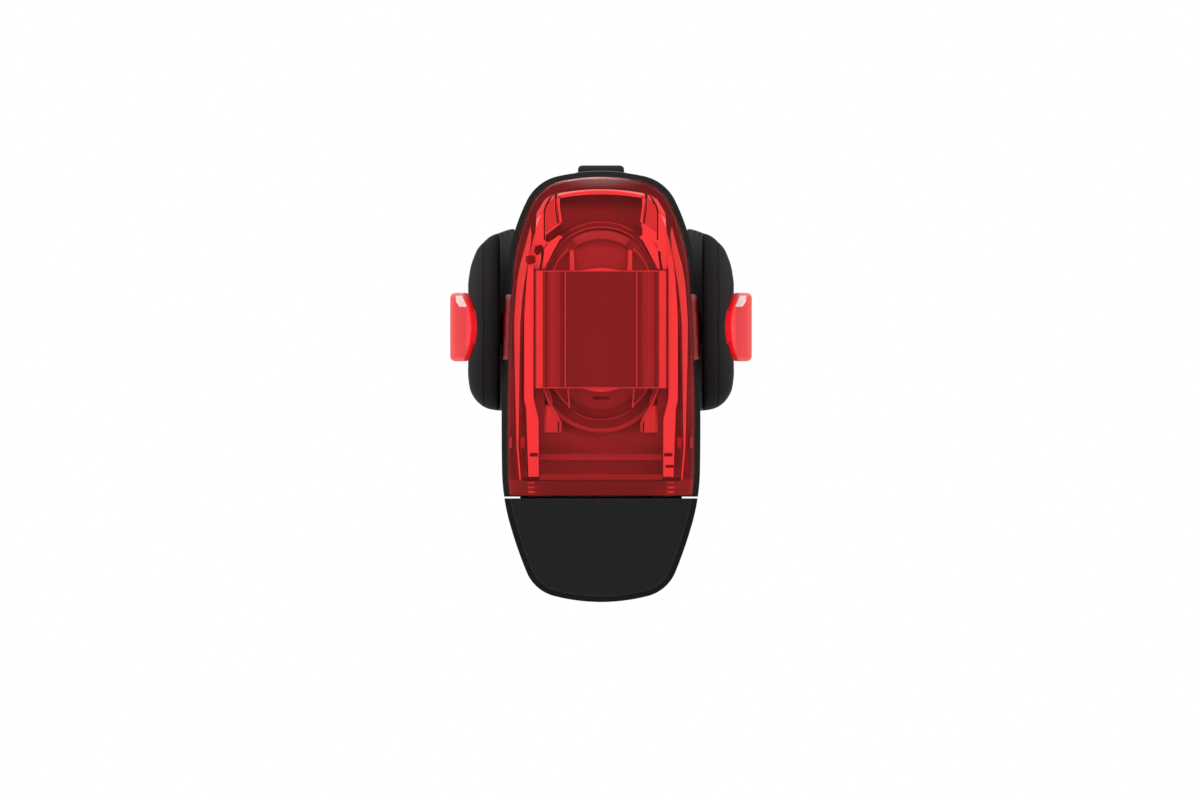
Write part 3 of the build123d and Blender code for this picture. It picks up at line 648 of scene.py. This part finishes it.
# Crescents and flashes: light that leaves the block at its upper and lower face. It is brightest
# in the middle, and at the ends of the block's prisms it makes short bars.
crescent_face = block_face - 0.5 * mm
lower_fullness = 1.4
flash_back = 33.75 * mm
flash_front = 33.85 * mm
flash_start = 0.05
lit_acrylic = moulded(
    "Acrylic, clear, light leaving it", "#F8F6F4", "#FDFCFA", 2 * mm, 0.3 * mm, 0.01 * mm, 0.2, 1.5
)
crescent_curve = [(-3.1, 0), (3.1, 0), (2, 0.22), (1, 0.36), (0, 0.42), (-1, 0.36), (-2, 0.22)]
crescents = [
    [(x, block_top + z) for x, z in crescent_curve],
    [(x, block_foot - lower_fullness * z) for x, z in crescent_curve],
]
flash_bars = [
    [(4.2, block_top + flash_start), (5.0, block_top + flash_start), (5.0, 12.2), (4.4, 12.4)],
    [(5.13, block_foot - flash_start), (5.38, block_foot - flash_start), (5.2, -12.95), (4.93, -12.95)],
]
plates("crescents", crescents, crescent_face - hair, crescent_face, lit_acrylic, False)
plates("prism_flashes", flash_bars, flash_back, flash_front, lit_acrylic)

# Dark bar: a short dark bar laid on the collimator's lower face, darker than the rings round it.
dark_bar_outline = bar(-1.3, 1.3, -11.6, -11.15)
dark_bar_colour = moulded(
    "Acrylic, dark bar", "#746C6E", "#807678", 1 * mm, 0.2 * mm, 0.02 * mm, 0.5, 1.3
)
plates("collimator_dark_bar", [dark_bar_outline], ring_face, pale_face, dark_bar_colour, False)

# Feet of the side strips: their straight outer skirt, and the slots in which the reflectors are
# clipped to the carrier, drawn as dark plates of painted shade. The right one has a second slot.
plate_front = -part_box("side_reflector_left")[0][1]
skirt_back = plate_front - 0.5 * mm
skirt_face = plate_front - 0.02 * mm
strip_skirts = [[(12.1, -8.5), (11.6, -24.0), (11.2, -24.0), (11.2, -14), (11.8, -8.5)]]
clip_slots = [bar(10.1, 11.4, -20.7, -20.15)]
lower_slot = [bar(10.3, 11.6, -22.5, -22.05)]
clip_shade = moulded(
    "ABS, white, shaded clip slot", "#6A5A5C", "#746466", 3 * mm, 0.3 * mm, 0.01 * mm, 0.5, 1.2
)
plates("strip_skirts", strip_skirts, skirt_back, skirt_face, reflector_plastic)
plates("clip_slots", clip_slots, plate_front, plate_front + hair, clip_shade)
plates("lower_slot", lower_slot, plate_front, plate_front + hair, clip_shade, False)

# Gasket and neck seal: silicone cords, cut from a moulded sheet, squeezed under the lens and
# round the neck. Silicone is matt and picks up a little dust.
gasket_clearance = 0.02 * mm
gasket_silicone = moulded(
    "Silicone, dark red, moulded", "#6E4A4A", "#7D5656", 4 * mm, 0.3 * mm, 0.02 * mm, 0.55, 1.2
)
dress(["lens_gasket"], gasket_silicone, draw_in=gasket_clearance)
seal_silicone = moulded(
    "Silicone, red, moulded", "#9A1B20", "#AC2428", 4 * mm, 0.3 * mm, 0.02 * mm, 0.55, 1.3
)
dress(["neck_seal"], seal_silicone)

# Hooks: the lens's clear red plastic, but thicker, so that it takes more light and glows where
# the white behind it comes through. Each is one moulding with its flange held under the lens.
hook_voxel = 0.18 * mm
hook_smoothing = 14
red_thick = new_material("Polycarbonate, deep red, polished mould")
hook_clear = add(red_thick, "ShaderNodeBsdfTransparent", {}, {"Color": linear("#FA7378")})
hook_place = add(red_thick, "ShaderNodeTexCoord", {}, {}).outputs["Object"]
# Deep red where the head is thick, painted paler towards its outer face where light comes in,
# and painted black on the neck as the shade of the rubber ring round it
hook_thickness_and_shading = shades_along(red_thick, hook_place, "X", [
    (14, "#EC2A32"), (15.55, "#EA2228"), (15.65, "#0C0505"), (18.2, "#0C0505"), (18.6, "#C01C24"),
    (21.4, "#D82830"), (21.8, "#EE4A50"), (23.2, "#F05056"), (24.1, "#F67A7E")
])
# How much it covers what is behind it: from clear at black to opaque at white
hook_cover = shades_along(red_thick, hook_place, "X", [
    (14, "#C4C4C4"), (15.55, "#CCCCCC"), (15.65, "#FFFFFF"), (21.3, "#F8F8F8"), (21.9, "#B8B8B8"),
    (24.1, "#B8B8B8")
])
# Its upper and lower ends are thin again, and paler still, with a painted highlight on them
hook_ends = shades_along(red_thick, hook_place, "Z", [
    (-5.6, "#FF9A9A"), (-4.7, "#C84A4E"), (-4.3, "#000000"), (3.6, "#000000"), (4.4, "#D05458"),
    (5.6, "#FFB4B4")
])
hook_pale = add(red_thick, "ShaderNodeMix", {"data_type": "RGBA", "blend_type": "LIGHTEN"}, {
    "Factor": 1.0, 6: hook_thickness_and_shading, 7: hook_ends
})
# The light that enters at the rim leaves again at the dome, which glows a little
hook_glow = shades_along(red_thick, hook_place, "X", [
    (14, "#000000"), (19, "#000000"), (19.5, "#D0181E"), (21.3, "#D0181E"), (21.7, "#000000"),
    (24.1, "#000000")
])
hook_body = add(red_thick, "ShaderNodeBsdfPrincipled", {}, {
    "Base Color": clouded(red_thick, hook_place, hook_pale.outputs[2], 2.5 * mm, 0.12, 3),
    "Roughness": 0.14, "Coat Weight": 0.6,
    "Emission Color": hook_glow, "Emission Strength": 1.0
})
hook_mix = add(red_thick, "ShaderNodeMixShader", {}, {
    0: hook_cover, 1: hook_clear.outputs[0], 2: hook_body.outputs[0]
})
add(red_thick, "ShaderNodeOutputMaterial", {}, {"Surface": hook_mix.outputs[0]})
for side_name in ("left", "right"):
    hook = soften("hook_" + side_name, "red_hook_" + side_name, hook_voxel, hook_smoothing)
    stand_in(hook, "hook_" + side_name, red_thick, "housing")
# A painted highlight: one slanting pale patch on the upper front of each hook's head
highlight_back = 31.1 * mm
highlight_front = 31.23 * mm
hook_painted_highlight = moulded(
    "Polycarbonate, red, painted highlight", "#F4C4C4", "#FFDCDC", 1.5 * mm, 0.2 * mm, 0.01 * mm, 0.2, 1.4
)
hook_highlight_outline = [(23.25, 5.0), (22.25, 5.05), (21.5, 3.35), (21.75, 3.2), (22.7, 3.3), (23.2, 4.1)]
plates("hook_highlights", [hook_highlight_outline], highlight_back, highlight_front, hook_painted_highlight)

# Lens: clear red polycarbonate from a polished mould, welded into the tub. What is behind it
# shows through, tinted once by each face that the light crosses.
lens_edge_round = 0.14 * mm
lens_clearance = 0.012 * mm
flow_mark = 6 * mm
sheen_low = 21.8 * mm
sheen_high = 24.2 * mm
sheen_core = 1 * mm
sheen_reach = 7.5 * mm
lens_tint = "#FBB0B2"
red_clear = new_material("Polycarbonate, clear red, polished mould")
see_through = add(red_clear, "ShaderNodeBsdfTransparent", {}, {"Color": linear(lens_tint)})
flow_place = add(red_clear, "ShaderNodeTexCoord", {}, {}).outputs["Object"]
# Flow marks of the moulding, about 6 mm long, that only the gloss shows
flow = add(red_clear, "ShaderNodeTexNoise", {}, {
    "Vector": flow_place, "Scale": 1 / flow_mark, "Detail": 1
})
flow_bump = add(red_clear, "ShaderNodeBump", {}, {
    "Strength": 0.12, "Distance": 0.02 * mm, "Height": flow.outputs["Fac"]
})
lens_gloss = add(red_clear, "ShaderNodeBsdfAnisotropic", {}, {
    "Color": linear("#FFFFFF"), "Roughness": 0.06, "Normal": flow_bump.outputs[0]
})
lens_edge = add(red_clear, "ShaderNodeFresnel", {}, {"IOR": 1.15})
lens_mix = add(red_clear, "ShaderNodeMixShader", {}, {
    0: lens_edge.outputs[0], 1: see_through.outputs[0], 2: lens_gloss.outputs[0]
})
# A faint painted sheen in the middle of the top edge, standing in for the reflection of the
# light above on the lens's curved top
lens_parts = add(red_clear, "ShaderNodeSeparateXYZ", {}, {"Vector": flow_place})
lens_side = add(red_clear, "ShaderNodeMath", {"operation": "ABSOLUTE"}, {0: lens_parts.outputs["X"]})
sheen_rise = add(red_clear, "ShaderNodeMapRange", {"interpolation_type": "SMOOTHSTEP"}, {
    "Value": lens_parts.outputs["Z"], "From Min": sheen_low, "From Max": sheen_high, "To Max": 0.13
})
sheen_share = add(red_clear, "ShaderNodeMapRange", {"interpolation_type": "SMOOTHSTEP"}, {
    "Value": lens_side.outputs[0], "From Min": sheen_reach, "From Max": sheen_core,
    "To Min": 0, "To Max": sheen_rise.outputs[0]
})
lens_painted_sheen = add(red_clear, "ShaderNodeBsdfDiffuse", {}, {"Color": linear("#E8D8D0")})
sheen_mix = add(red_clear, "ShaderNodeMixShader", {}, {
    0: sheen_share.outputs[0], 1: lens_mix.outputs[0], 2: lens_painted_sheen.outputs[0]
})
add(red_clear, "ShaderNodeOutputMaterial", {}, {"Surface": sheen_mix.outputs[0]})
# Its rounded edges are less polished and throw back a little more light
polished_edge = new_material("Polycarbonate, clear red, polished edge")
edge_clear = add(polished_edge, "ShaderNodeBsdfTransparent", {}, {"Color": linear(lens_tint)})
edge_gloss = add(polished_edge, "ShaderNodeBsdfAnisotropic", {}, {
    "Color": linear("#FFF0F0"), "Roughness": 0.22
})
edge_mix = add(polished_edge, "ShaderNodeMixShader", {}, {
    0: 0.12, 1: edge_clear.outputs[0], 2: edge_gloss.outputs[0]
})
add(polished_edge, "ShaderNodeOutputMaterial", {}, {"Surface": edge_mix.outputs[0]})
dress(["lens_shell"], red_clear, lens_edge_round, polished_edge, lens_clearance)

# Light guides: slim acrylic bars beside the reflectors, let into the side walls of the lens.
# They lead light to the sides and look smoky where none leaves them.
guide_clearance = 0.04 * mm
guide_plastic = moulded(
    "Acrylic, smoke red, moulded", "#845058", "#8F5961", 6 * mm, 0.8 * mm, 0.01 * mm, 0.2, 1.3
)
dress(["light_guide_left", "light_guide_right"], guide_plastic, draw_in=guide_clearance)

# Blades: the lit face of each light guide, a slim curve that tapers to both ends. It is the
# guide's polished front, drawn as a plate of painted light, and a paler margin of painted light,
# laid over the shaded cavity, lies along its inner side.
blade_back = 37.1 * mm
blade_face = 37.2 * mm
margin_back = 34 * mm
margin_face = 34.05 * mm
lit_red = moulded(
    "Acrylic, clear red, lit face", "#E47676", "#EC8080", 6 * mm, 0.8 * mm, 0.01 * mm, 0.2, 1.4
)
shadow_red = moulded(
    "Acrylic, clear red, painted shadow streak", "#7B3F3F", "#854747", 3 * mm, 0.3 * mm, 0.01 * mm, 0.3, 1.3
)
blade_outer = [
    (11.3, 16.1), (12.12, 12.9), (12.93, 9.95), (13.4, 7.5), (13.67, 4.3), (13.88, 0.8), (13.86, -3),
    (13.76, -8), (13.6, -15), (13.48, -19.2), (13.05, -24.4)
]
blade_inner = [
    (12.78, -24.4), (13.2, -19.2), (13.12, -15), (13.04, -8), (12.96, -3), (12.88, 0.8), (12.6, 4.3),
    (12.32, 6.6), (11.85, 9.3), (11.45, 11.4), (11.1, 14.8)
]
# The lowest patch of the slanting painted shadow lies on this guide
side_shadow = [(-12.06, 11.3), (-11.2, 11.45), (-10.5, 11.4), (-10.46, 10.3), (-11.3, 10.0), (-12.0, 10.25)]
side_margins = [bar(11.75, 12.85, -24, 8)]
plates("guide_blades", [blade_outer + blade_inner], blade_back, blade_face, lit_red)
plates("side_shadow", [side_shadow], blade_face, blade_face + hair, shadow_red, False)
plates("side_margins", side_margins, margin_back, margin_face, facet_shade)

# Clips: two short ribs in each side wall that hold the guide, moulded with it. The outer one
# stands deeper and is as bright as the blade.
outer_clip_back = 31.4 * mm
outer_clip_face = 32.4 * mm
outer_clips = [bar(14.2, 14.65, -19.35, -17.5)]
inner_clips = [bar(12.2, 12.85, -19.3, -17.6)]
clip_red = moulded(
    "Acrylic, clear red, lit clip", "#A96767", "#B37171", 3 * mm, 0.3 * mm, 0.01 * mm, 0.2, 1.4
)
plates("outer_clips", outer_clips, outer_clip_back, outer_clip_face, lit_red)
plates("inner_clips", inner_clips, blade_back, blade_face, clip_red)

# Weld band: the frosted step where the lens is welded to the tub. It lies between the black
# rim and the inner wall and shows through the lens as a dark red frame.
weld_low = 31.12 * mm
weld_thickness = 0.15 * mm
weld_margin = 0.12 * mm
weld_steps = 240


def contour(node_name):
    """A CAD node's outline from the front: its radius at any angle about the hooks' axis."""
    points = [Vector((v.co.x, v.co.z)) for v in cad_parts[node_name].data.vertices]
    corners = [points[place] for place in geometry.convex_hull_2d(points)]
    polar = sorted((math.atan2(p.y, p.x), p.length) for p in corners)

    def radius_at(angle):
        places = [place for place, (start, _) in enumerate(polar) if start <= angle]
        near_angle, near = polar[places[-1]] if places else polar[-1]
        far_angle, far = polar[(places[-1] + 1) % len(polar)] if places else polar[0]
        spread = (far_angle - near_angle) % (2 * math.pi)
        turn = (angle - near_angle) % (2 * math.pi)
        # A chord between two corners, so that straight sides stay straight
        return near * far * math.sin(spread) / (near * math.sin(turn) + far * math.sin(spread - turn))

    return radius_at


lens_radius = contour("lens_shell")
carrier_radius = contour("optic_carrier")
work = bmesh.new()
rows = []
for step in range(weld_steps):
    angle = 2 * math.pi * step / weld_steps - math.pi
    outer = lens_radius(angle) - weld_margin
    inner = carrier_radius(angle) + weld_margin
    low, high = weld_low, weld_low + weld_thickness
    rows.append([
        work.verts.new((radius * math.cos(angle), -depth, radius * math.sin(angle)))
        for radius, depth in ((outer, low), (outer, high), (inner, high), (inner, low))
    ])
for row, next_row in zip(rows, rows[1:] + rows[:1]):
    join_rings(work, row, next_row)
weld_plastic = new_material("Polycarbonate, red, frosted weld")
weld_place = add(weld_plastic, "ShaderNodeTexCoord", {}, {}).outputs["Object"]
# Painted light and shade along the height: paler beside the hooks and at the foot, and darker
# higher up
weld_painted_shading = shades_along(weld_plastic, weld_place, "Z", [
    (-27, "#DA7C7C"), (-24.6, "#D27676"), (-24.2, "#AC6464"), (-20, "#A06464"), (2, "#DA7474"),
    (9, "#B06464"), (15, "#804A4A"), (25, "#784648")
])
weld_skin = add(weld_plastic, "ShaderNodeBsdfPrincipled", {}, {
    "Base Color": clouded(weld_plastic, weld_place, weld_painted_shading, 1.5 * mm, 0.15),
    "Roughness": 0.5, "IOR": 1.1
})
add(weld_plastic, "ShaderNodeOutputMaterial", {}, {"Surface": weld_skin.outputs[0]})
keep("lens_weld_band", work, weld_plastic, "housing")

# Crown glint: a painted highlight, a thin pale bead where the lens's front turns over its top
# edge. It is at its widest on the upper left and runs out on the right.
bead_start = 112
bead_end = 79
bead_steps = 30
bead_radius = 0.09 * mm
bead_least = 0.15
bead_fullness = 0.6
bead_inset = 0.22 * mm
bead_depth = 40.2 * mm
bead_sides = 6
work = bmesh.new()
rows = []
for step in range(bead_steps + 1):
    share = step / bead_steps
    angle = math.radians(bead_start + (bead_end - bead_start) * share)
    radius = lens_radius(angle) - bead_inset
    swell = bead_radius * (bead_least + math.sin(math.pi * share) ** bead_fullness)
    row = []
    for side in range(bead_sides):
        turn = 2 * math.pi * side / bead_sides
        reach = radius + swell * math.cos(turn)
        depth = bead_depth + swell * math.sin(turn)
        row.append(work.verts.new((reach * math.cos(angle), -depth, reach * math.sin(angle))))
    rows.append(row)
for row, next_row in zip(rows, rows[1:]):
    join_rings(work, row, next_row)
work.faces.new(rows[0])
work.faces.new(rows[-1])
glint_highlight_paint = moulded(
    "Polycarbonate, clear red, painted glint", "#C89C98", "#D8B0AC", 3 * mm, 0.3 * mm, 0.01 * mm,
    0.15, 1.5
)
glint = keep("crown_glint", work, glint_highlight_paint, "housing")
for face in glint.data.polygons:
    face.use_smooth = True

# Foot teeth: three short ribs at each end of the lens's foot, moulded in it to guide it into
# the tub before it is welded. They show paler than the foot round them.
tooth_count = 3
tooth_pitch = 0.75
tooth_height = 0.3
tooth_top = -24.75
tooth_back = 35 * mm
tooth_face = 36 * mm
tooth_tops = [tooth_top - tooth_pitch * number for number in range(tooth_count)]
foot_teeth = [bar(10.6, 11.7, top - tooth_height, top) for top in tooth_tops]
tooth_red = moulded(
    "Polycarbonate, clear red, moulded tooth", "#EC7474", "#F48080", 3 * mm, 0.3 * mm, 0.01 * mm,
    0.3, 1.3
)
plates("foot_teeth", foot_teeth, tooth_back, tooth_face, tooth_red)

# Strap: black rubber, moulded in two halves, which leaves a parting line round the middle of
# each ring. The rings stretch over the hooks. Rubber is matt with a soft sheen at the edges.
strap_voxel = 0.28 * mm
strap_smoothing = 60
seam_depth = 0.4 * mm
seam_half_width = 0.14 * mm
seam_outward = 0.3 * mm
seam_catch = 0.02 * mm
ring_reach = 6 * mm
most_sideways = 0.9

strap = soften("strap", "rubber_strap", strap_voxel, strap_smoothing)
seam_x = (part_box("strap")[1][0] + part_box("back_shell")[1][0] + seam_outward) / 2
ring_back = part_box("hook_right")[1][1] + ring_reach
work = bmesh.new()
work.from_mesh(strap.data)
for side in (-1, 1):
    for shift in (-seam_half_width, 0, seam_half_width):
        everything = work.verts[:] + work.edges[:] + work.faces[:]
        cut_point = (side * (seam_x + shift), 0, 0)
        bmesh.ops.bisect_plane(work, geom=everything, dist=1e-7, plane_co=cut_point, plane_no=(1, 0, 0))
work.normal_update()
for vertex in work.verts:
    on_seam = abs(abs(vertex.co.x) - seam_x) < seam_catch
    if on_seam and vertex.co.y < ring_back and abs(vertex.normal.x) < most_sideways:
        vertex.co -= vertex.normal * seam_depth
work.to_mesh(strap.data)
work.free()
strap_rubber = new_material("Rubber, black, moulded")
strap_place = add(strap_rubber, "ShaderNodeTexCoord", {}, {}).outputs["Object"]
# Painted light and shade across the rings: paler on their outer face, and darkest on the face
# next to the housing, where shade falls
strap_painted_shading = shades_along(strap_rubber, strap_place, "X", [
    (0, "#242424"), (13, "#222222"), (15.5, "#131313"), (16.8, "#171717"), (18.3, "#222222"),
    (20.6, "#2E2E2E"), (21.4, "#303030")
])
strap_skin = add(strap_rubber, "ShaderNodeBsdfPrincipled", {}, {
    "Base Color": clouded(strap_rubber, strap_place, strap_painted_shading, 5 * mm, 0.35), "Roughness": 0.6,
    "IOR": 1.12, "Normal": grained(strap_rubber, strap_place, 0.35 * mm, 0.03 * mm)
})
add(strap_rubber, "ShaderNodeOutputMaterial", {}, {"Surface": strap_skin.outputs[0]})
stand_in(strap, "strap", strap_rubber, "strap")

# End cap: soft-touch black plastic, pushed over the plug and the neck. Its flat front meets
# the sides in a thin edge, painted paler as a highlight where it catches the light.
cap_edge_round = 0.2 * mm
cap_plastic = new_material("TPE, black, matt mould")
cap_place = add(cap_plastic, "ShaderNodeTexCoord", {}, {})
# Painted shade by facing: the sides are painted a shade darker than the flat front, to hold
# back the light they catch from the side
cap_facing = add(cap_plastic, "ShaderNodeSeparateXYZ", {}, {"Vector": cap_place.outputs["Normal"]})
cap_share = add(cap_plastic, "ShaderNodeMapRange", {}, {
    "Value": cap_facing.outputs["Y"], "From Min": -0.7, "From Max": -0.95
})
cap_painted_shade = add(cap_plastic, "ShaderNodeMix", {"data_type": "RGBA"}, {
    "Factor": cap_share.outputs[0], 6: linear("#1C1C1C"), 7: linear("#212121")
})
cap_skin = add(cap_plastic, "ShaderNodeBsdfPrincipled", {}, {
    "Base Color": clouded(cap_plastic, cap_place.outputs["Object"], cap_painted_shade.outputs[2], 8 * mm, 0.2),
    "Roughness": 0.7, "Specular IOR Level": 0.0,
    "Normal": grained(cap_plastic, cap_place.outputs["Object"], 0.3 * mm, 0.02 * mm)
})
add(cap_plastic, "ShaderNodeOutputMaterial", {}, {"Surface": cap_skin.outputs[0]})
cap_edge = moulded(
    "TPE, black, painted edge highlight", "#464646", "#505050", 8 * mm, 0.3 * mm, 0.01 * mm, 0.35, 1.2
)
dress(["end_cap"], cap_plastic, cap_edge_round, cap_edge)

# Floor: a pale round sheet of matt paper. It lies well below the end cap, because the light
# hangs from a post in use.
floor_radius = 500 * mm
floor_drop = 46 * mm
floor_sides = 96
floor_mesh = bpy.data.meshes.new("studio_floor")
work = bmesh.new()
bmesh.ops.create_circle(work, cap_ends=True, radius=floor_radius, segments=floor_sides)
bmesh.ops.translate(work, verts=work.verts, vec=(0, 0, cad_box[0][2] - floor_drop))
work.to_mesh(floor_mesh)
work.free()
floor = bpy.data.objects.new("studio_floor", floor_mesh)
bpy.context.scene.collection.objects.link(floor)
floor_paper = moulded("Paper, pale, matt", "#ECECEA", "#F2F2F0", 90 * mm, 3 * mm, 0.05 * mm, 0.8, 1.3)
floor.data.materials.append(floor_paper)

# Studio light: an even white room, a soft box high on each side and a strip box above. They
# give the soft highlights at the top of the hooks and along the edges.
room = bpy.data.worlds.new("Studio room")
room.use_nodes = True
room.node_tree.nodes.clear()
path = add(room, "ShaderNodeLightPath", {}, {})
seen = add(room, "ShaderNodeMath", {"operation": "MAXIMUM"}, {
    0: path.outputs["Is Camera Ray"], 1: path.outputs["Is Glossy Ray"]
})
shown = add(room, "ShaderNodeMath", {"operation": "MAXIMUM"}, {
    0: seen.outputs[0], 1: path.outputs["Is Transmission Ray"]
})
soft = add(room, "ShaderNodeBackground", {}, {"Color": linear("#FFFFFF"), "Strength": 0.86})
white = add(room, "ShaderNodeBackground", {}, {"Color": linear("#FFFFFF"), "Strength": 1.0})
both = add(room, "ShaderNodeMixShader", {}, {
    0: shown.outputs[0], 1: soft.outputs[0], 2: white.outputs[0]
})
add(room, "ShaderNodeOutputWorld", {}, {"Surface": both.outputs[0]})
bpy.context.scene.world = room

# Each lamp's name, its place in metres, its width and depth in metres and its power in watts
soft_boxes = [
    ("soft_box_left", (-0.35, -0.55, 0.5), 0.35, 0.35, 1.8),
    ("soft_box_right", (0.45, -0.6, 0.25), 0.3, 0.3, 0.9),
    ("strip_box_above", (-0.08, -0.06, 0.62), 0.5, 0.09, 1.6),
]
for name, place, width, depth, power in soft_boxes:
    lamp = bpy.data.lights.new(name, "AREA")
    lamp.shape = "RECTANGLE"
    lamp.size = width
    lamp.size_y = depth
    lamp.energy = power
    stand = bpy.data.objects.new(name, lamp)
    stand.location = place
    # Turned to point at the light
    stand.rotation_euler = (-Vector(place)).to_track_quat("-Z", "Y").to_euler()
    bpy.context.scene.collection.objects.link(stand)

# Camera: a long lens far in front, square to the light, as in a catalogue picture. The frame's
# width holds at the depth of the housing's rim.
frame_width = 192 * mm
frame_depth = 31 * mm
frame_middle_x = -0.16 * mm
frame_middle_z = -11.68 * mm
camera_lens = bpy.data.cameras.new("catalogue_camera")
camera_lens.lens = 1000
camera_lens.sensor_width = 36
camera_distance = frame_width * camera_lens.lens / camera_lens.sensor_width
camera = bpy.data.objects.new("catalogue_camera", camera_lens)
camera.location = (frame_middle_x, -camera_distance - frame_depth, frame_middle_z)
camera.rotation_euler = (math.radians(90), 0, 0)
bpy.context.scene.collection.objects.link(camera)
bpy.context.scene.camera = camera
bpy.context.scene.view_settings.view_transform = "Standard"
